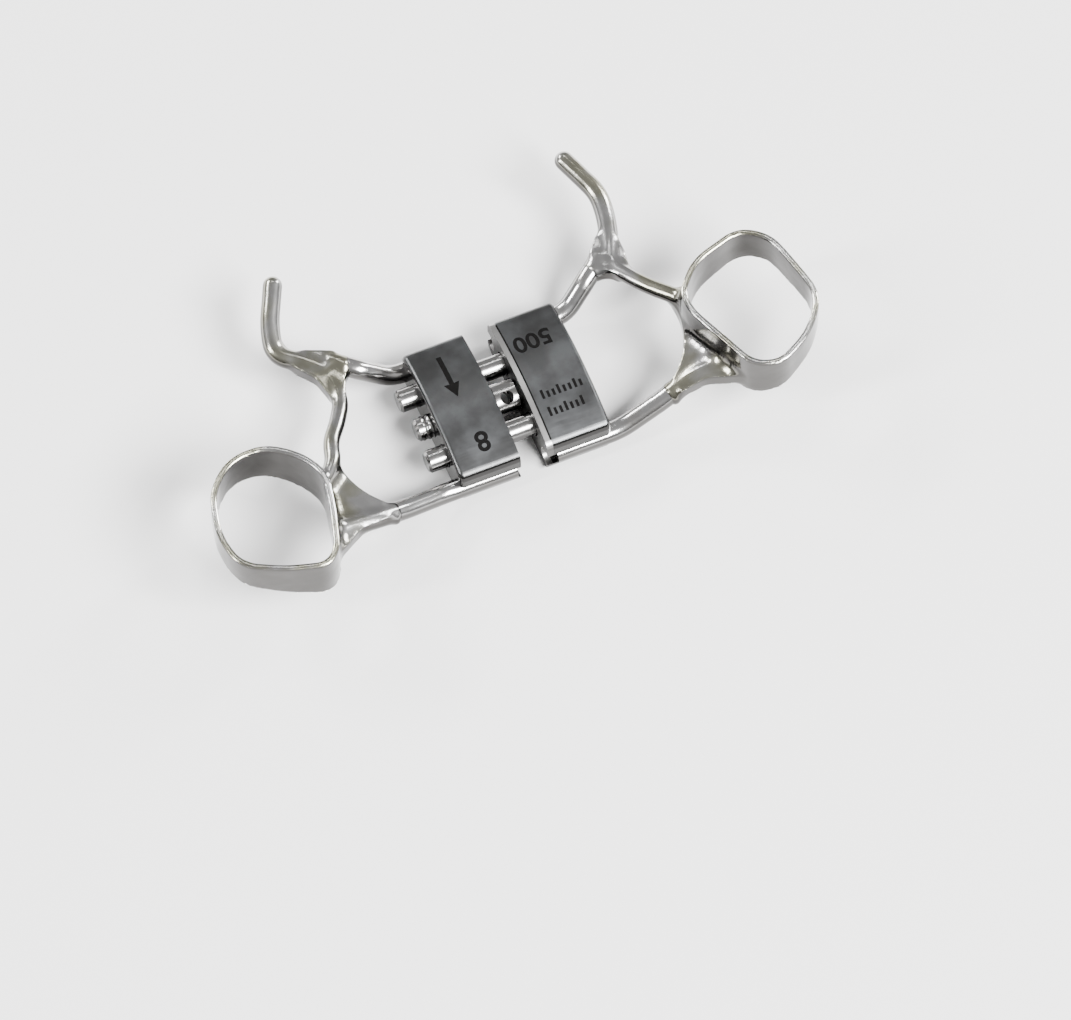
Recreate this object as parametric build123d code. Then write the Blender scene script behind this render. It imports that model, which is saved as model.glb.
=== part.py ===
from build123d import *
import math
import os

# Palatal expander: a leaf spring screw body carried by two cast frames with molar bands.
# X runs along the screw axis, Y towards the front teeth, Z towards the biting side.
# The origin is the middle of the screw's key hub. Lengths are in millimetres.

# Expander body, the same outline for both halves
body_length = 11.3
body_below_axis = 2.1
body_end_above_axis = 1.2
body_crown = 0.9
body_edge_radius = 0.7
body_end_round = 0.35
left_block_width = 4.7
casing_width = 4.55
front_plate_thickness = 0.45
hub_side_gap = 0.1

# Spring chamber inside the right half
casing_end_wall = 0.6
chamber_length = 8.1
chamber_height = 2.7
chamber_corner_radius = 0.9

# Expansion screw
hub_radius = 1.3
hub_width = 1.9
hub_chamfer = 0.12
key_hole_radius = 0.5
key_hole_tilt_deg = 27
shoulder_radius = 0.9
thread_core_radius = 0.84
thread_bore_radius = 0.93
thread_run = 6.05
thread_chamfer = 0.2
journal_radius = 0.5
journal_end_gap = 0.02
collar_radius = 0.85
collar_thickness = 0.35
collar_side_gap = 0.05

# Guide pins
pin_radius = 0.85
pin_spacing = 5.4
pin_proud = 1.5
pin_chamfer = 0.18

# Carriage that the screw pushes against the springs
carriage_thickness = 0.8
carriage_web = 0.35
spring_travel = 1.8
spring_travel_spare = 0.1

# Leaf springs, shown squeezed together
leaf_count = 4
leaf_thickness = 0.2
leaf_bow = 0.08
leaf_gap = 0.02
leaf_end_gap = 0.05
leaf_length = 7.6
leaf_height = 2.2
leaf_corner_radius = 0.5

# Fits
sliding_gap = 0.06
plate_hole_gap = 0.1
fixed_gap = 0.01

# Wire legs
leg_radius = 0.75
leg_offset = 5.2
leg_below_axis = 0.7
leg_end_inset = 0.3
leg_exit_run = 0.9
leg_lead = 0.9

# Cast frames, fitted to the teeth
arch_half_width = 20.0
arch_depth = 20.0
rim_above_axis = 5.5
band_size = 10.2
band_wall = 0.45
band_depth = 3.6
band_floor_tilt_deg = 12
mesial_bar_radius = 0.6
canine_arm_radius = 0.72
web_thickness = 1.1
web_tilt_deg = 15
junction_thickness = 1.15
junction_corner_radius = 0.35
bend_share = 0.45
overrun = 1.0

# Places on each frame: outwards as a share of the half width, forwards as a share of
# the depth, up as a share of the rim's height
left_places_shares = {
    "band": (0.99, -0.255),
    "mesial_bar": [
        (0.790, -0.170, 0.49),
        (0.695, -0.075, 0.47),
        (0.672, 0.015, 0.42),
        (0.610, 0.095, 0.34),
        (0.560, 0.185, 0.27),
        (0.565, 0.285, 0.24),
    ],
    "canine_arm": [
        (0.565, 0.320, 0.24),
        (0.625, 0.385, 0.24),
        (0.715, 0.445, 0.27),
        (0.690, 0.555, 0.36),
        (0.620, 0.695, 0.44),
    ],
    "front_stub": [(0.490, 0.315, 0.22), (0.545, 0.355, 0.25)],
    "rear_stub": [(0.550, -0.300, 0.14), (0.660, -0.318, 0.30), (0.800, -0.330, 0.45)],
    "web_edge": [(0.677, -0.042), (0.643, -0.188), (0.575, -0.268)],
    "web": [
        (0.580, -0.335),
        (0.700, -0.355),
        (0.825, -0.440),
        (0.920, -0.420),
        (0.880, -0.120),
        (0.775, -0.110),
    ],
    "junction": [
        (0.620, 0.425),
        (0.505, 0.375),
        (0.520, 0.310),
        (0.518, 0.245),
        (0.545, 0.180),
        (0.590, 0.190),
        (0.615, 0.295),
        (0.680, 0.380),
    ],
}
right_places_shares = {
    "band": (0.935, -0.135),
    "mesial_bar": [
        (0.775, -0.010, 0.49),
        (0.705, 0.090, 0.47),
        (0.655, 0.155, 0.40),
        (0.612, 0.220, 0.34),
        (0.572, 0.300, 0.27),
        (0.558, 0.370, 0.24),
    ],
    "canine_arm": [
        (0.560, 0.345, 0.24),
        (0.592, 0.425, 0.25),
        (0.618, 0.515, 0.31),
        (0.625, 0.610, 0.36),
        (0.560, 0.770, 0.44),
    ],
    "front_stub": [(0.485, 0.340, 0.18), (0.540, 0.378, 0.24)],
    "rear_stub": [(0.550, -0.235, 0.14), (0.660, -0.218, 0.30), (0.800, -0.240, 0.45)],
    "web_edge": [(0.690, 0.082), (0.662, -0.098), (0.575, -0.200)],
    "web": [
        (0.580, -0.268),
        (0.680, -0.262),
        (0.815, -0.330),
        (0.900, -0.300),
        (0.840, 0.050),
        (0.740, 0.080),
    ],
    "junction": [
        (0.552, 0.455),
        (0.500, 0.395),
        (0.502, 0.350),
        (0.525, 0.312),
        (0.565, 0.258),
        (0.612, 0.278),
        (0.622, 0.350),
        (0.622, 0.430),
    ],
}

# Places round each band's outer face, from the band's centre, outwards and forwards, as
# shares of the band's size
left_band_round_shares = [
    (0.371, 0.339),
    (0.458, -0.015),
    (0.401, -0.306),
    (0.090, -0.466),
    (-0.190, -0.540),
    (-0.310, -0.440),
    (-0.407, -0.131),
    (-0.465, 0.174),
    (-0.349, 0.383),
    (-0.124, 0.553),
    (0.157, 0.534),
]
right_band_round_shares = [
    (-0.470, 0.314),
    (-0.282, 0.520),
    (0.112, 0.638),
    (0.318, 0.498),
    (0.391, 0.227),
    (0.459, -0.095),
    (0.272, -0.354),
    (-0.022, -0.514),
    (-0.234, -0.443),
    (-0.350, -0.163),
    (-0.473, 0.138),
]

# Worked out from the sizes above
body_half_length = body_length / 2
inner_face = hub_width / 2 + hub_side_gap
left_block_end = -(inner_face + left_block_width)
plate_inner_face = inner_face + front_plate_thickness
casing_end = plate_inner_face + casing_width
chamber_end = casing_end - casing_end_wall
carriage_face = plate_inner_face + spring_travel + spring_travel_spare
carriage_back = carriage_face + carriage_thickness
pin_places = (pin_spacing / 2, -pin_spacing / 2)


def body_section():
    """Crowned outline of the expander body, drawn across the screw axis."""
    half = body_half_length
    left_end = (-half, body_end_above_axis)
    right_end = (half, body_end_above_axis)
    crown = ThreePointArc(left_end, (0, body_end_above_axis + body_crown), right_end)
    sides = Polyline(
        right_end,
        (half, -body_below_axis),
        (-half, -body_below_axis),
        left_end,
    )
    outline = make_face([crown, sides])
    return fillet(outline.vertices(), body_edge_radius)


def along_x(section, start, end):
    """The section drawn across the screw axis, extruded from start to end."""
    return Plane.YZ.offset(start) * extrude(section, end - start)


def cross_rod(radius, start, end, forward, up):
    """A round rod parallel to the screw axis."""
    return Pos(0, forward, up) * along_x(Circle(radius), start, end)


def leg_grooves(start, end):
    """Channels along the front and rear ends, where the legs lie."""
    radius = leg_radius + fixed_gap
    grooves = []
    for forward in (leg_offset, -leg_offset):
        grooves.append(cross_rod(radius, start, end, forward, -leg_below_axis))
    return grooves


def guide_bores(radius, start, end):
    """The two bores that the guide pins pass through."""
    return [cross_rod(radius, start, end, forward, 0) for forward in pin_places]


def left_block():
    """Left half of the body: a solid block with the screw's thread and two guide bores."""
    block = along_x(body_section(), left_block_end, -inner_face)
    rim = block.faces().sort_by(Axis.X)[0].edges()
    block = fillet(rim, body_end_round)
    start = left_block_end - overrun
    block -= cross_rod(thread_bore_radius, start, overrun, 0, 0)
    block -= guide_bores(pin_radius + sliding_gap, start, overrun)
    return block - leg_grooves(start, overrun)


def chamber_section(inset):
    """Rounded outline of the spring chamber, drawn in by inset."""
    return RectangleRounded(
        chamber_length - 2 * inset,
        chamber_height - 2 * inset,
        chamber_corner_radius - inset,
    )


def casing():
    """Right half of the body: a cup that holds the carriage and the springs."""
    cup = along_x(body_section(), plate_inner_face, casing_end)
    rim = cup.faces().sort_by(Axis.X)[-1].edges()
    cup = fillet(rim, body_end_round)
    cup -= along_x(chamber_section(0), plate_inner_face - overrun, chamber_end)
    return cup - leg_grooves(0, casing_end + overrun)


def front_plate():
    """Plate that closes the casing and keeps the carriage in."""
    plate = along_x(body_section(), inner_face, plate_inner_face)
    plate -= cross_rod(shoulder_radius + plate_hole_gap, 0, casing_end, 0, 0)
    plate -= guide_bores(pin_radius + plate_hole_gap, 0, casing_end)
    return plate - leg_grooves(0, casing_end)


def expansion_screw():
    """One turned piece: thread core, key hub with crossed holes, shoulder and journal."""
    thread_end = -hub_width / 2 - thread_run
    profile = Polyline(
        (thread_end, 0),
        (thread_end, thread_core_radius - thread_chamfer),
        (thread_end + thread_chamfer, thread_core_radius),
        (-hub_width / 2, thread_core_radius),
        (-hub_width / 2, hub_radius - hub_chamfer),
        (-hub_width / 2 + hub_chamfer, hub_radius),
        (hub_width / 2 - hub_chamfer, hub_radius),
        (hub_width / 2, hub_radius - hub_chamfer),
        (hub_width / 2, shoulder_radius),
        (carriage_face - journal_end_gap, shoulder_radius),
        (carriage_face - journal_end_gap, journal_radius),
        (carriage_back - collar_side_gap, journal_radius),
        (carriage_back - collar_side_gap, 0),
        close=True,
    )
    screw = revolve(make_face(profile), Axis.X)
    key_hole = Cylinder(key_hole_radius, 2 * hub_radius + overrun)
    for turn in (0, 90):
        screw -= Rot(key_hole_tilt_deg + turn, 0, 0) * key_hole
    return screw


def screw_collar():
    """Ring pressed on the journal, sunk in the back of the carriage."""
    end = carriage_back - collar_side_gap
    start = end - collar_thickness
    ring = cross_rod(collar_radius, start, end, 0, 0)
    return ring - cross_rod(journal_radius + fixed_gap, 0, casing_end, 0, 0)


def carriage():
    """Plate that slides in the chamber, carried by the screw and holding both pins."""
    plate = along_x(chamber_section(sliding_gap), carriage_face, carriage_back)
    sink_start = carriage_face + carriage_web
    plate -= cross_rod(journal_radius + sliding_gap, 0, casing_end, 0, 0)
    plate -= cross_rod(collar_radius + plate_hole_gap, sink_start, casing_end, 0, 0)
    return plate - guide_bores(pin_radius + fixed_gap, 0, casing_end)


def guide_pin(forward):
    """Ground pin fixed in the carriage, sliding in the front plate and the left block."""
    start = left_block_end - pin_proud
    pin = cross_rod(pin_radius, start, carriage_back, forward, 0)
    end_edge = pin.faces().sort_by(Axis.X)[0].edges()
    return chamfer(end_edge, pin_chamfer)


def leaf_spring(place):
    """One bowed leaf; neighbours bow opposite ways, so that pairs meet at their ends."""
    pitch = leaf_thickness + leaf_bow + leaf_gap
    start = carriage_back + leaf_end_gap + place * pitch
    end_x = start + leaf_bow if place % 2 == 0 else start
    middle_x = start if place % 2 == 0 else start + leaf_bow
    half = leaf_length / 2
    back = ThreePointArc((end_x, -half), (middle_x, 0), (end_x, half))
    front = ThreePointArc(
        (end_x + leaf_thickness, half),
        (middle_x + leaf_thickness, 0),
        (end_x + leaf_thickness, -half),
    )
    outline = make_face([back, Line(back @ 1, front @ 0), front, Line(front @ 1, back @ 0)])
    strip = Pos(0, 0, -leaf_height / 2) * extrude(outline, leaf_height)
    plan = RectangleRounded(leaf_length, leaf_height, leaf_corner_radius)
    return strip & along_x(plan, carriage_face, casing_end)


def frame_point(side, shares):
    """A place on a frame; side is -1 on the left and 1 on the right."""
    up = shares[2] if len(shares) > 2 else 0
    return Vector(
        side * shares[0] * arch_half_width,
        shares[1] * arch_depth,
        up * rim_above_axis,
    )


def bend_radii(points, first_reach):
    """Bend radius at each inner point, as large as its two runs and the first reach allow."""
    radii = []
    reach = first_reach
    for before, here, after in zip(points, points[1:], points[2:]):
        first_run = here - before
        second_run = after - here
        turn = math.radians(first_run.get_angle(second_run))
        reach = min(reach, bend_share * first_run.length, bend_share * second_run.length)
        radii.append(reach / math.tan(turn / 2))
        reach = arch_depth
    return radii


def round_bar(points, radius, first_reach=arch_depth):
    """A round bar through the points, with tangent bends; the first starts in its reach."""
    if len(points) > 2:
        path = FilletPolyline(*points, radius=bend_radii(points, first_reach))
    else:
        path = Line(*points)
    section = Plane(origin=path @ 0, z_dir=path % 0) * Circle(radius)
    return sweep(section, path=path)


def frame_bar(side, shares, radius):
    """A round bar of a frame, along its places."""
    return round_bar([frame_point(side, place) for place in shares], radius)


def band_outline(side, places_shares, round_shares):
    """Outer outline of a molar band, each corner rounded as far as its two runs allow."""
    centre = frame_point(side, places_shares["band"])
    corners = []
    for outward, forward in round_shares:
        corners.append(centre + Vector(side * outward, forward, 0) * band_size)
    outline = make_face(Polyline(*corners, close=True))
    radii = bend_radii([corners[-1], *corners, corners[0]], arch_depth)
    for corner, radius in zip(corners, radii):
        vertex = outline.vertices().sort_by_distance(corner)[0]
        outline = fillet(vertex, radius)
    return outline


def band_solids(side, places_shares, round_shares):
    """The band as a solid block, and the space inside its wall that nothing may fill."""
    outline = band_outline(side, places_shares, round_shares)
    centre = frame_point(side, places_shares["band"])
    tall = rim_above_axis + body_below_axis
    low = -body_below_axis
    block = Pos(0, 0, low) * extrude(outline, tall)
    floor_place = Pos(centre.X, centre.Y, rim_above_axis - band_depth)
    below = Pos(0, 0, -tall / 2) * Box(2 * band_size, 2 * band_size, tall)
    block -= floor_place * Rot(0, -side * band_floor_tilt_deg, 0) * below
    inside = offset(outline, -band_wall)
    space = Pos(0, 0, low - overrun) * extrude(inside, tall + 2 * overrun)
    return block, space


def web_plate(side, places_shares):
    """Tilted plate between the band, the mesial bar and the rear stub."""
    corners = [frame_point(side, place) for place in places_shares["web"]]
    edge_places = [frame_point(side, place) for place in places_shares["web_edge"]]
    inner_edge = ThreePointArc(*edge_places)
    outline = make_face([inner_edge, Polyline(inner_edge @ 1, *corners, inner_edge @ 0)])
    prism = Pos(0, 0, -body_below_axis) * extrude(outline, rim_above_axis + body_below_axis)
    middle = frame_point(side, places_shares["rear_stub"][1])
    slab = Box(arch_half_width, arch_half_width, web_thickness)
    return prism & Pos(*middle) * Rot(0, -side * web_tilt_deg, 0) * slab


def junction_plate(side, places_shares):
    """Small plate where the mesial bar, the canine arm and the front stub meet."""
    corners = [frame_point(side, place) for place in places_shares["junction"]]
    outline = make_face(Polyline(*corners, close=True))
    outline = fillet(outline.vertices(), junction_corner_radius)
    level = places_shares["canine_arm"][0][2] * rim_above_axis
    plate = extrude(outline, junction_thickness)
    return Pos(0, 0, level - junction_thickness / 2) * plate


def cast_frame(side, places_shares, round_shares):
    """One cast piece: band, web, bars, canine arm and the stubs that the legs meet."""
    band, space = band_solids(side, places_shares, round_shares)
    web = web_plate(side, places_shares)
    junction = junction_plate(side, places_shares)
    mesial_bar = frame_bar(side, places_shares["mesial_bar"], mesial_bar_radius)
    canine_arm = frame_bar(side, places_shares["canine_arm"], canine_arm_radius)
    front_stub = frame_bar(side, places_shares["front_stub"], leg_radius)
    rear_stub = frame_bar(side, places_shares["rear_stub"], leg_radius)
    bar_end = Pos(*frame_point(side, places_shares["mesial_bar"][-1]))
    tip = Pos(*frame_point(side, places_shares["canine_arm"][-1]))
    frame = web + mesial_bar + rear_stub
    frame += band
    frame -= space
    frame += junction
    frame += bar_end * Sphere(mesial_bar_radius)
    frame += front_stub
    frame += canine_arm
    return frame + tip * Sphere(canine_arm_radius)


def wire_leg(side, forward_sign, stub_shares):
    """Wire from its groove in the body to the end of a frame's stub."""
    body_face = -left_block_end if side < 0 else casing_end
    inner_end = inner_face if side < 0 else plate_inner_face
    forward = forward_sign * leg_offset
    start = Vector(side * (inner_end + leg_end_inset), forward, -leg_below_axis)
    bend = Vector(side * (body_face + leg_exit_run), forward, -leg_below_axis)
    joint = frame_point(side, stub_shares[0])
    next_place = frame_point(side, stub_shares[1])
    lead = joint + (joint - next_place).normalized() * leg_lead
    return round_bar([start, bend, lead, joint], leg_radius, leg_exit_run)


def build_parts():
    """Every piece of the expander, by its name."""
    parts = {
        "left_frame": cast_frame(-1, left_places_shares, left_band_round_shares),
        "right_frame": cast_frame(1, right_places_shares, right_band_round_shares),
        "left_block": left_block(),
        "casing": casing(),
        "front_plate": front_plate(),
        "carriage": carriage(),
        "expansion_screw": expansion_screw(),
        "screw_collar": screw_collar(),
        "front_guide_pin": guide_pin(pin_places[0]),
        "rear_guide_pin": guide_pin(pin_places[1]),
    }
    for place in range(leaf_count):
        parts[f"leaf_spring_{place + 1}"] = leaf_spring(place)
    sides = (("left", -1, left_places_shares), ("right", 1, right_places_shares))
    for name, side, places_shares in sides:
        parts[f"{name}_front_leg"] = wire_leg(side, 1, places_shares["front_stub"])
        parts[f"{name}_rear_leg"] = wire_leg(side, -1, places_shares["rear_stub"])
    return parts


os.makedirs("parts", exist_ok=True)
for node, solid in build_parts().items():
    export_step(solid, f"parts/{node}.step")
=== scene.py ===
import math

import bmesh
import bpy
from mathutils import Matrix, Vector, noise


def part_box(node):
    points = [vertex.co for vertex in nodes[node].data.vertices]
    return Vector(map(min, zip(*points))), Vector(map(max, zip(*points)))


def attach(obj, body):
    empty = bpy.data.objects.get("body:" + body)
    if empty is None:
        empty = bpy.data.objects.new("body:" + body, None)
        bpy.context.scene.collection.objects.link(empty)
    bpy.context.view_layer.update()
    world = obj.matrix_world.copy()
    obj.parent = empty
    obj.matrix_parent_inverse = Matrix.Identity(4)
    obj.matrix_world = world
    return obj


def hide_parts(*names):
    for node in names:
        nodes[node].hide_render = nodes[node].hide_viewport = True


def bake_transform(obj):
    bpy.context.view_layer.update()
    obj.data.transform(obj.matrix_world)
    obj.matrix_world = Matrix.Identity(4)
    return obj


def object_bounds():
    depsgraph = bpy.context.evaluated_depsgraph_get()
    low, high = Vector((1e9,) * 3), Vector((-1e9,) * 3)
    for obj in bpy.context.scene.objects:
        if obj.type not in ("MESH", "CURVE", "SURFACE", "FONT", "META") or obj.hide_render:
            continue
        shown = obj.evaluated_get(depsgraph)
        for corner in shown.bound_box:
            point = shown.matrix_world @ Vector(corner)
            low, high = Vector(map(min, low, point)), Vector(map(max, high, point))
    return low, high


# Palatal expander: cast frames, wire legs and a spring screw body, on a pale floor.
# Lengths are in metres, unless a comment says millimetres, in the part's own frame:
# X along the screw, Y forwards, Z up.

MM = 0.001
NOISE_SEED = 7

# Camera, as the photograph was taken: from behind, a little to the left, high up
VIEW_AZIMUTH = math.radians(-22.8)
VIEW_ELEVATION = math.radians(61.4)
VIEW_DISTANCE = 0.76
VIEW_TARGET = Vector((-1.47, -9.34, 0.0)) * MM
VIEW_LENS = 355.0
CLIP_START = 0.01
SENSOR_WIDTH = 36.0

# Studio: the floor, the pale surroundings, and each light's place, size and power
FLOOR_REACH = 3.0
SURROUND_TONE = 0.9
SURROUND_STRENGTH = 0.36
LIGHTS = {
    "key_light": ((0.40, -0.60, 0.70), (0.65, 0.45), 42.0),
    "fill_light": ((-0.75, 0.05, 0.50), (0.12, 0.45), 6.0),
    "side_light": ((0.85, 0.25, 0.40), (0.10, 0.40), 5.0),
    "front_light": ((-0.40, 0.70, 0.50), (0.35, 0.10), 5.0),
    "strip_light": ((0.19, 0.46, 0.87), (0.30, 0.04), 0.5),
}

# Castings: grid for melting, corner fill, smoothing and slight waviness
CAST_MERGE = 0.001 * MM
CAST_VOXEL = 0.092 * MM
CAST_FILL = 0.65 * MM
CAST_SMOOTH_FACTOR = 0.5
CAST_SMOOTH_TURNS = 14
CAST_WAVE = 0.02 * MM
CAST_WAVE_SIZE = 1.6 * MM

# Weld beads: where each leg ends on its frame and the beads' size, in millimetres
LEG_JOINTS = {
    "left": ((-9.8, 6.3, 1.21), (-11.0, -6.0, 0.77)),
    "right": ((9.7, 6.8, 0.99), (11.0, -4.7, 0.77)),
}
BEAD_SIZE = (0.62, 0.90, 0.86)
BEAD_SHIFT = 0.2 * MM
BEAD_TURN = 0.4
BEAD_FINENESS = 3

# Springs
LEAF_COUNT = 4

# Screw thread; across the profile in shares of the pitch, up it in shares of the depth
THREAD_PITCH = 0.4 * MM
THREAD_ROOT = 0.80 * MM
THREAD_CREST = 0.915 * MM
THREAD_PROFILE = ((-0.5, 0.0), (-0.12, 1.0), (0.12, 1.0), (0.5, 0.0))
THREAD_STEPS_PER_TURN = 48
THREAD_FADE_STEPS = 20
THREAD_END_GAP = 0.35 * MM
THREAD_HUB_GAP = 0.3 * MM
HUB_START = -0.95 * MM

# Marks on the body's crowned tops
CROWN_RISE = 0.9 * MM
MARK_LIFT = 0.012 * MM
MARK_DEPTH = 0.004 * MM
MARK_CUT = 0.25 * MM

# Their places and sizes, in millimetres
ARROW = (
    (-3.63, 4.15),
    (-3.27, 4.15),
    (-3.27, 1.55),
    (-2.85, 1.60),
    (-3.45, 0.38),
    (-4.05, 1.60),
    (-3.63, 1.55),
)
NUMERALS = {
    "left_numeral_mark": ("8", (-3.15, -3.45, 0), 2.1, "left_half"),
    "right_numeral_mark": ("500", (3.35, 2.75, 0), 1.95, "right_half"),
}
NUMERAL_STROKE_SHARE = 0.02
TICK_ROWS = ((-2.15, 8), (-3.55, 7))
TICK_START = 2.15
TICK_STEP = 0.42
TICK_WIDTH = 0.2
TICK_LENGTH = 0.52
LONG_TICK_LENGTH = 0.72
LONG_TICK_EVERY = 3
# The painted shade line of the plate seam
SEAM_WIDTH = 0.12
SEAM_END = 0.5

noise.seed_set(NOISE_SEED)
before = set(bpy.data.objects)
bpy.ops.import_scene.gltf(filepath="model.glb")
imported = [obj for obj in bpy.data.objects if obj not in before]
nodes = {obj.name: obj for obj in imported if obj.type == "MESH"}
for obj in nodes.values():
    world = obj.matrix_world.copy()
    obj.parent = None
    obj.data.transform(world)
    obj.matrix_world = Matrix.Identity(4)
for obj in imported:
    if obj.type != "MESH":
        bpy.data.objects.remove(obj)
cad_low, cad_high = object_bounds()


class Value:
    """A shader socket with arithmetic, so that shader maths reads as plain expressions."""

    def __init__(self, shader, socket):
        self.shader = shader
        self.socket = socket

    def math(self, operation, other):
        settings = {"operation": operation}
        return self.shader.node("ShaderNodeMath", settings, self, other).out()

    def __add__(self, other):
        return self.math("ADD", other)

    __radd__ = __add__

    def __mul__(self, other):
        return self.math("MULTIPLY", other)

    __rmul__ = __mul__

    def step(self, low, high):
        """0 below low, 1 above high, smooth between."""
        settings = {"interpolation_type": "SMOOTHSTEP"}
        return self.shader.node("ShaderNodeMapRange", settings, self, low, high).out()


class Node:
    """One shader node, with its outputs as values."""

    def __init__(self, shader, made):
        self.shader = shader
        self.made = made

    def out(self, name=0):
        return Value(self.shader, self.made.outputs[name])


class Shader:
    """A material's node tree, built by calls."""

    def __init__(self, name):
        self.material = bpy.data.materials.new(name)
        self.material.use_nodes = True
        self.tree = self.material.node_tree
        self.surface = self.tree.nodes["Principled BSDF"]

    def node(self, kind, settings=None, *values, **named):
        """A node of this kind: its settings first, then its sockets by place or name."""
        made = self.tree.nodes.new(kind)
        for key, value in (settings or {}).items():
            setattr(made, key, value)
        for key, value in [*enumerate(values), *named.items()]:
            self.feed(made.inputs[key], value)
        return Node(self, made)

    def feed(self, socket, value):
        if isinstance(value, Value):
            self.tree.links.new(value.socket, socket)
        else:
            socket.default_value = value

    def set(self, **sockets):
        """The surface's own sockets, with _ for each space in a name."""
        for name, value in sockets.items():
            self.feed(self.surface.inputs[name.replace("_", " ")], value)

    def up(self):
        """How far the surface faces upwards, from -1 to 1."""
        facing = self.node("ShaderNodeNewGeometry").out("Normal")
        return self.node("ShaderNodeSeparateXYZ", None, facing).out("Z")

    def noise(self, scale, detail, stretch=(1.0, 1.0, 1.0)):
        """Noise over the piece's own coordinates, scale in turns per metre."""
        place = self.node("ShaderNodeTexCoord").out("Object")
        place = self.node("ShaderNodeMapping", None, place, Scale=stretch).out()
        texture = self.node("ShaderNodeTexNoise", None, place, Scale=scale, Detail=detail)
        return texture.out("Fac")

    def mix(self, factor, low, high):
        """A colour between two others."""
        node = self.node("ShaderNodeMix", {"data_type": "RGBA"})
        for index, value in ((0, factor), (6, low), (7, high)):
            self.feed(node.made.inputs[index], value)
        return node.out(2)

    def bump(self, height, distance, strength):
        """Fine relief that the surface's Normal takes."""
        sockets = {"Strength": strength, "Distance": distance, "Height": height}
        return self.node("ShaderNodeBump", None, **sockets).out()


def grey(level, warmth=0.0):
    """A grey of this level, warmer or cooler by a share of it."""
    return (level * (1 + warmth), level, level * (1 - warmth), 1.0)


def straw(level):
    """The straw tint of the castings' warm patches."""
    return (level * 1.03, level, level * 0.80, 1.0)


def cast_alloy():
    """Electropolished cobalt chromium: bright, slightly uneven, with warm patches."""
    shader = Shader("cast_alloy")
    warm = shader.noise(260.0, 3.0).step(0.40, 0.60)
    cloud = shader.noise(900.0, 2.0)
    grain = shader.noise(9000.0, 3.0)
    tone = shader.mix(warm, grey(0.60, 0.01), straw(0.42))
    # Painted shade: faces turned away from upwards get a near-black tone; the same mask also
    # makes them smoother.
    top = shader.up().step(0.30, 0.88)
    tone = shader.mix(top, grey(0.07, 0.04), tone)
    relief = shader.noise(700.0, 1.0) * 0.7 + grain * 0.12
    shader.set(
        Base_Color=tone,
        Metallic=1.0,
        Roughness=top * (cloud * 0.12 + grain * 0.06 + 0.04) + 0.10,
        Normal=shader.bump(relief, 0.10 * MM, 0.35),
    )
    return shader.material


def wire_steel():
    """Bent polished wire, with faint drawing lines."""
    shader = Shader("wire_steel")
    cloud = shader.noise(700.0, 2.0)
    lines = shader.noise(5200.0, 3.0, (0.12, 1.0, 1.0))
    tone = shader.mix(cloud.step(0.4, 0.7), grey(0.78, 0.005), grey(0.62, 0.03))
    # Painted shade: the wire's sides and underside are darkened to near black by facing
    # direction.
    tone = shader.mix(shader.up().step(0.35, 0.92), grey(0.10, 0.03), tone)
    shader.set(
        Base_Color=tone,
        Metallic=1.0,
        Roughness=cloud * 0.08 + lines * 0.08 + 0.10,
        Normal=shader.bump(cloud * 0.6 + lines * 0.25, 0.05 * MM, 0.3),
    )
    return shader.material


def body_steel():
    """Satin body: ground along the screw axis on top, with its side faces painted dark as
    shade.
    """
    shader = Shader("body_steel")
    cloud = shader.noise(420.0, 3.0)
    lines = shader.noise(9000.0, 3.0, (0.06, 1.0, 1.0))
    specks = shader.noise(16000.0, 2.0).step(0.62, 0.75)
    top = shader.up().step(0.55, 0.85)
    tone = shader.mix(cloud.step(0.35, 0.7), grey(0.105, -0.01), grey(0.165, -0.03))
    tone = shader.mix(specks * 0.45, tone, grey(0.05, 0.02))
    # Painted shade: faces that do not face upwards get a near-black tone.
    tone = shader.mix(top, grey(0.04, 0.02), tone)
    shader.set(
        Base_Color=tone,
        Metallic=1.0,
        Roughness=top * (cloud * 0.12 + lines * 0.14 + 0.10) + 0.14,
        Normal=shader.bump(lines * 0.6 + specks * 0.4, 0.010 * MM, 0.5),
    )
    return shader.material


def ground_steel(name, level, roughness):
    """Ground steel, for the front plate, the pins, the screw and the carriage."""
    shader = Shader(name)
    cloud = shader.noise(900.0, 2.0)
    lines = shader.noise(12000.0, 2.0, (1.0, 0.15, 0.15))
    tone = shader.mix(cloud, grey(level, 0.01), grey(level * 0.85, 0.02))
    # Painted shade: side and downward faces are darkened by facing direction.
    tone = shader.mix(shader.up().step(0.3, 0.85), grey(level * 0.15, 0.02), tone)
    shader.set(
        Base_Color=tone,
        Metallic=1.0,
        Roughness=lines * 0.12 + roughness,
        Normal=shader.bump(lines, 0.006 * MM, 0.4),
    )
    return shader.material


def spring_alloy():
    """Nickel titanium strip, warm grey."""
    shader = Shader("spring_alloy")
    cloud = shader.noise(1200.0, 2.0)
    tone = shader.mix(cloud, grey(0.60, 0.05), grey(0.48, 0.10))
    shader.set(Base_Color=tone, Metallic=1.0, Roughness=cloud * 0.15 + 0.2)
    return shader.material


def laser_mark_and_seam_shade():
    """Dark oxide left by the marking laser; the same dark also serves as the painted shade
    of the plate seam.
    """
    shader = Shader("laser_mark_and_seam_shade")
    grain = shader.noise(14000.0, 3.0)
    tone = shader.mix(grain.step(0.35, 0.75), grey(0.002, 0.04), grey(0.008, 0.05))
    shader.set(Base_Color=tone, Roughness=grain * 0.2 + 0.6, Specular_IOR_Level=0.05)
    return shader.material


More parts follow.
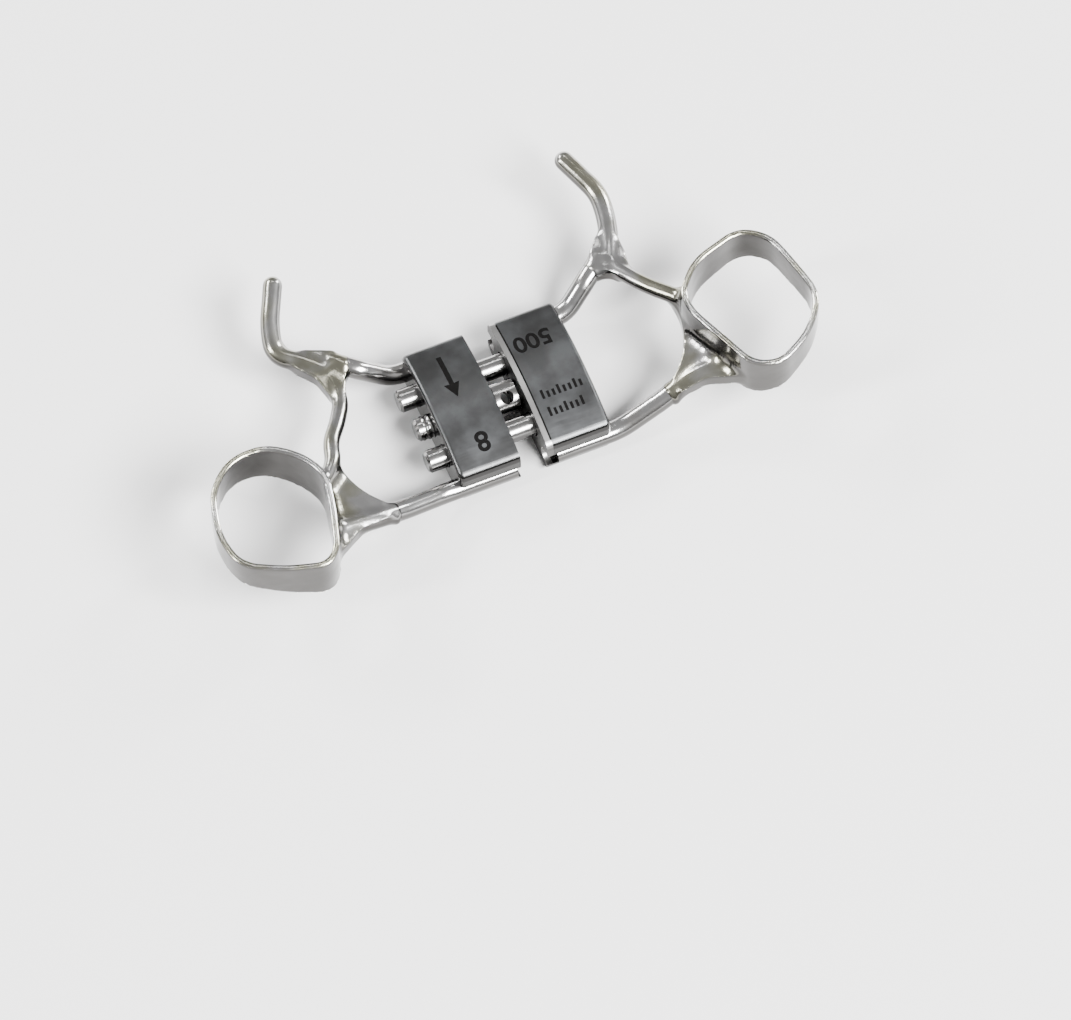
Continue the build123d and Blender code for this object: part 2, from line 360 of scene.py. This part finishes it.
def floor_paint():
    """Pale studio floor."""
    shader = Shader("floor_paint")
    cloud = shader.noise(6.0, 3.0)
    tone = shader.mix(cloud, grey(0.94, 0.004), grey(0.96, 0.004))
    shader.set(Base_Color=tone, Roughness=0.75)
    return shader.material


CAST = cast_alloy()
WIRE = wire_steel()
BODY = body_steel()
PLATE = ground_steel("plate_steel", 0.60, 0.28)
GROUND = ground_steel("ground_steel", 0.55, 0.14)
SPRING = spring_alloy()
MARK_AND_SEAM_SHADE = laser_mark_and_seam_shade()
FLOOR = floor_paint()


def add(name, data):
    """A new object in the scene, with this mesh, curve, light or camera."""
    made = bpy.data.objects.new(name, data)
    bpy.context.scene.collection.objects.link(made)
    return made


def dress(piece, material):
    """The piece has this material alone."""
    piece.data.materials.clear()
    piece.data.materials.append(material)


def settle(piece, body, material):
    """The piece rides on a body and takes the given finish."""
    dress(piece, material)
    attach(piece, body)


def shade(mesh, smooth):
    """Smooth or flat shading on every face."""
    for face in mesh.polygons:
        face.use_smooth = smooth


def mesh_from(bm, name, smooth=True):
    """A mesh made from the edited one, which is let go."""
    mesh = bpy.data.meshes.new(name)
    bm.to_mesh(mesh)
    bm.free()
    shade(mesh, smooth)
    return mesh


def final_mesh(piece):
    """The piece's mesh as its modifiers, or its curve, leave it."""
    graph = bpy.context.evaluated_depsgraph_get()
    return bpy.data.meshes.new_from_object(piece.evaluated_get(graph))


def apply_modifiers(piece):
    """The piece keeps its final mesh and no modifier."""
    finished = final_mesh(piece)
    old = piece.data
    piece.modifiers.clear()
    piece.data = finished
    bpy.data.meshes.remove(old)


def weld_bead(bm, place, turn):
    """A small flattened ball of weld metal, to be melted into the casting."""
    shape = Matrix.Diagonal((*(Vector(BEAD_SIZE) * MM), 1.0))
    matrix = Matrix.Translation(place) @ turn @ shape
    bmesh.ops.create_icosphere(bm, subdivisions=BEAD_FINENESS, radius=1.0, matrix=matrix)


def cast_piece(node, body, beads):
    """The cast frame, copied from its solid; swelling and shrinking it fills its corners."""
    bm = bmesh.new()
    bm.from_mesh(nodes[node].data)
    bmesh.ops.remove_doubles(bm, verts=bm.verts, dist=CAST_MERGE)
    for place, turn in beads:
        weld_bead(bm, place, turn)
    piece = add(f"{node}_casting", mesh_from(bm, f"{node}_casting"))
    for amount in (CAST_FILL, -CAST_FILL):
        melt = piece.modifiers.new("melt", "REMESH")
        melt.mode = "VOXEL"
        melt.voxel_size = CAST_VOXEL
        swell = piece.modifiers.new("swell", "DISPLACE")
        swell.mid_level = 0.0
        swell.strength = amount
    soften = piece.modifiers.new("soften", "SMOOTH")
    soften.factor = CAST_SMOOTH_FACTOR
    soften.iterations = CAST_SMOOTH_TURNS
    apply_modifiers(piece)
    normals = [vertex.normal.copy() for vertex in piece.data.vertices]
    for vertex, normal in zip(piece.data.vertices, normals):
        wave = noise.noise(vertex.co / CAST_WAVE_SIZE)
        vertex.co += normal * wave * CAST_WAVE
    shade(piece.data, True)
    settle(piece, body, CAST)
    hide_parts(node)


def frames():
    """Both cast frames, with a bead of weld metal at the end of each leg."""
    for name, places in LEG_JOINTS.items():
        beads = []
        for place in places:
            middle = Vector(place) * MM
            outwards = Vector((middle.x, 0, 0)).normalized() * BEAD_SHIFT
            turn = Matrix.Rotation(noise.random() * BEAD_TURN, 4, "Z")
            beads.append((middle + outwards, turn))
        cast_piece(f"{name}_frame", f"{name}_half", beads)


def node_finishes():
    """A finish for every CAD node, by the words in its name."""
    finishes = {"leg": WIRE, "block": BODY, "casing": BODY, "plate": PLATE}
    for name, node in nodes.items():
        material = GROUND
        for word, finish in finishes.items():
            if word in name:
                material = finish
        dress(node, material)


def leaf_springs():
    """The leaves, which spread between the carriage and the end wall as the spring opens,
    copied here as fixed strips.
    """
    for place in range(1, LEAF_COUNT + 1):
        node = f"leaf_spring_{place}"
        piece = add(f"{node}_strip", nodes[node].data.copy())
        dress(piece, SPRING)
        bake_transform(piece)
        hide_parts(node)


def thread_mesh(start, end):
    """A screw thread as a helical ridge round the X axis, which fades at both ends."""
    turns = (end - start) / THREAD_PITCH
    steps = int(turns * THREAD_STEPS_PER_TURN)
    depth = THREAD_CREST - THREAD_ROOT
    bm = bmesh.new()
    rings = []
    for step in range(steps + 1):
        angle = 2 * math.pi * step / THREAD_STEPS_PER_TURN
        middle = start + THREAD_PITCH * step / THREAD_STEPS_PER_TURN
        fade = min(1.0, step / THREAD_FADE_STEPS, (steps - step) / THREAD_FADE_STEPS)
        ring = []
        for across, height in THREAD_PROFILE:
            radius = THREAD_ROOT + depth * height * fade
            x = middle + across * THREAD_PITCH
            place = (x, -radius * math.sin(angle), radius * math.cos(angle))
            ring.append(bm.verts.new(place))
        rings.append(ring)
    for first, second in zip(rings, rings[1:]):
        for a, b, c, d in zip(first, first[1:], second[1:], second):
            bm.faces.new((a, b, c, d))
    for ring in (rings[0], rings[-1]):
        bm.faces.new(ring)
    bmesh.ops.recalc_face_normals(bm, faces=bm.faces)
    return mesh_from(bm, "screw_thread")


def screw_thread():
    """The fine thread on the screw's long end."""
    low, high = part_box("expansion_screw")
    mesh = thread_mesh(low.x + THREAD_END_GAP, HUB_START - THREAD_HUB_GAP)
    settle(add("screw_thread", mesh), "screw", GROUND)


def crown_height(forward):
    """Height of the body's crowned top at a place along Y."""
    low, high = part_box("left_block")
    half = (high.y - low.y) / 2
    radius = (half**2 + CROWN_RISE**2) / (2 * CROWN_RISE)
    return high.z - radius + math.sqrt(radius**2 - forward**2)


def lay_mark(name, mesh, body):
    """A flat mark, cut fine and laid on the crowned top."""
    bm = bmesh.new()
    bm.from_mesh(mesh)
    bpy.data.meshes.remove(mesh)
    low = min(v.co.y for v in bm.verts)
    high = max(v.co.y for v in bm.verts)
    cut = low
    while cut < high:
        cut += MARK_CUT
        geometry = bm.verts[:] + bm.edges[:] + bm.faces[:]
        bmesh.ops.bisect_plane(bm, geom=geometry, plane_co=(0, cut, 0), plane_no=(0, 1, 0))
    extruded = bmesh.ops.extrude_face_region(bm, geom=bm.faces[:])
    raised = {v for v in extruded["geom"] if isinstance(v, bmesh.types.BMVert)}
    for vertex in bm.verts:
        lift = MARK_LIFT if vertex in raised else -MARK_DEPTH
        vertex.co.z = crown_height(vertex.co.y) + lift
    bmesh.ops.recalc_face_normals(bm, faces=bm.faces)
    settle(add(name, mesh_from(bm, name, smooth=False)), body, MARK_AND_SEAM_SHADE)


def flat_mesh(name, outlines):
    """A flat mesh of separate filled outlines, given in millimetres."""
    bm = bmesh.new()
    for outline in outlines:
        bm.faces.new([bm.verts.new((x * MM, y * MM, 0.0)) for x, y in outline])
    return mesh_from(bm, name)


def rectangle(left, back, right, front):
    """The outline of a rectangle, from its left rear corner round."""
    return [(left, back), (right, back), (right, front), (left, front)]


def numeral_mesh(text, centre, height):
    """Plain numerals as a flat mesh, upright as seen from the front."""
    curve = bpy.data.curves.new(f"numeral_{text}", "FONT")
    curve.body = text
    curve.size = height
    curve.align_x = "CENTER"
    curve.align_y = "CENTER"
    curve.offset = NUMERAL_STROKE_SHARE * height
    holder = add(f"numeral_{text}_curve", curve)
    mesh = final_mesh(holder)
    bpy.data.objects.remove(holder)
    bpy.data.curves.remove(curve)
    mesh.transform(Matrix.Translation(centre) @ Matrix.Rotation(math.pi, 4, "Z"))
    return mesh


def body_marks():
    """Arrow, plain numerals and two rows of plain ticks, as dark laser marks."""
    lay_mark("arrow_mark", flat_mesh("arrow", [ARROW]), "left_half")
    for name, (text, centre, height, body) in NUMERALS.items():
        mesh = numeral_mesh(text, Vector(centre) * MM, height * MM)
        lay_mark(name, mesh, body)
    ticks = []
    for row, count in TICK_ROWS:
        for place in range(count):
            x = TICK_START + place * TICK_STEP
            length = TICK_LENGTH if place % LONG_TICK_EVERY else LONG_TICK_LENGTH
            ticks.append(rectangle(x, row, x + TICK_WIDTH, row + length))
    lay_mark("tick_marks", flat_mesh("ticks", ticks), "right_half")


def painted_seam_shade():
    """Painted shade: a dark line across the top where the front plate meets the casing,
    standing in for the shade in the seam.
    """
    low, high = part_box("casing")
    left = low.x / MM - SEAM_WIDTH / 2
    back, front = low.y / MM + SEAM_END, high.y / MM - SEAM_END
    outline = rectangle(left, back, left + SEAM_WIDTH, front)
    lay_mark("painted_seam_shade", flat_mesh("seam", [outline]), "right_half")


def floor():
    """Pale floor under the object."""
    bm = bmesh.new()
    corners = rectangle(-FLOOR_REACH, -FLOOR_REACH, FLOOR_REACH, FLOOR_REACH)
    bm.faces.new([bm.verts.new((x, y, cad_low.z)) for x, y in corners])
    piece = add("floor", mesh_from(bm, "floor"))
    dress(piece, FLOOR)


def softbox(name, place, size, energy):
    """A rectangular studio light aimed at the object."""
    light = bpy.data.lights.new(name, "AREA")
    light.shape = "RECTANGLE"
    light.size, light.size_y = size
    light.energy = energy
    lamp = add(name, light)
    lamp.location = Vector(place)
    lamp.rotation_euler = (-Vector(place)).to_track_quat("-Z", "Y").to_euler()


def studio():
    """Soft pale light with dark gaps, so that the metal shows bright and dark streaks."""
    world = bpy.data.worlds.new("studio")
    bpy.context.scene.world = world
    world.use_nodes = True
    background = world.node_tree.nodes["Background"]
    background.inputs["Color"].default_value = grey(SURROUND_TONE)
    background.inputs["Strength"].default_value = SURROUND_STRENGTH
    for name, (place, size, energy) in LIGHTS.items():
        softbox(name, place, size, energy)


def camera():
    """The photograph's viewing angle and framing."""
    level = math.cos(VIEW_ELEVATION)
    sideways = math.sin(VIEW_AZIMUTH) * level
    forwards = -math.cos(VIEW_AZIMUTH) * level
    back = Vector((sideways, forwards, math.sin(VIEW_ELEVATION)))
    data = bpy.data.cameras.new("camera")
    data.lens = VIEW_LENS
    data.sensor_width = SENSOR_WIDTH
    data.sensor_fit = "HORIZONTAL"
    data.clip_start = CLIP_START
    piece = add("camera", data)
    piece.location = VIEW_TARGET + back * VIEW_DISTANCE
    piece.rotation_euler = back.to_track_quat("Z", "Y").to_euler()
    bpy.context.scene.camera = piece


camera()
floor()
studio()
node_finishes()
frames()
leaf_springs()
screw_thread()
body_marks()
painted_seam_shade()
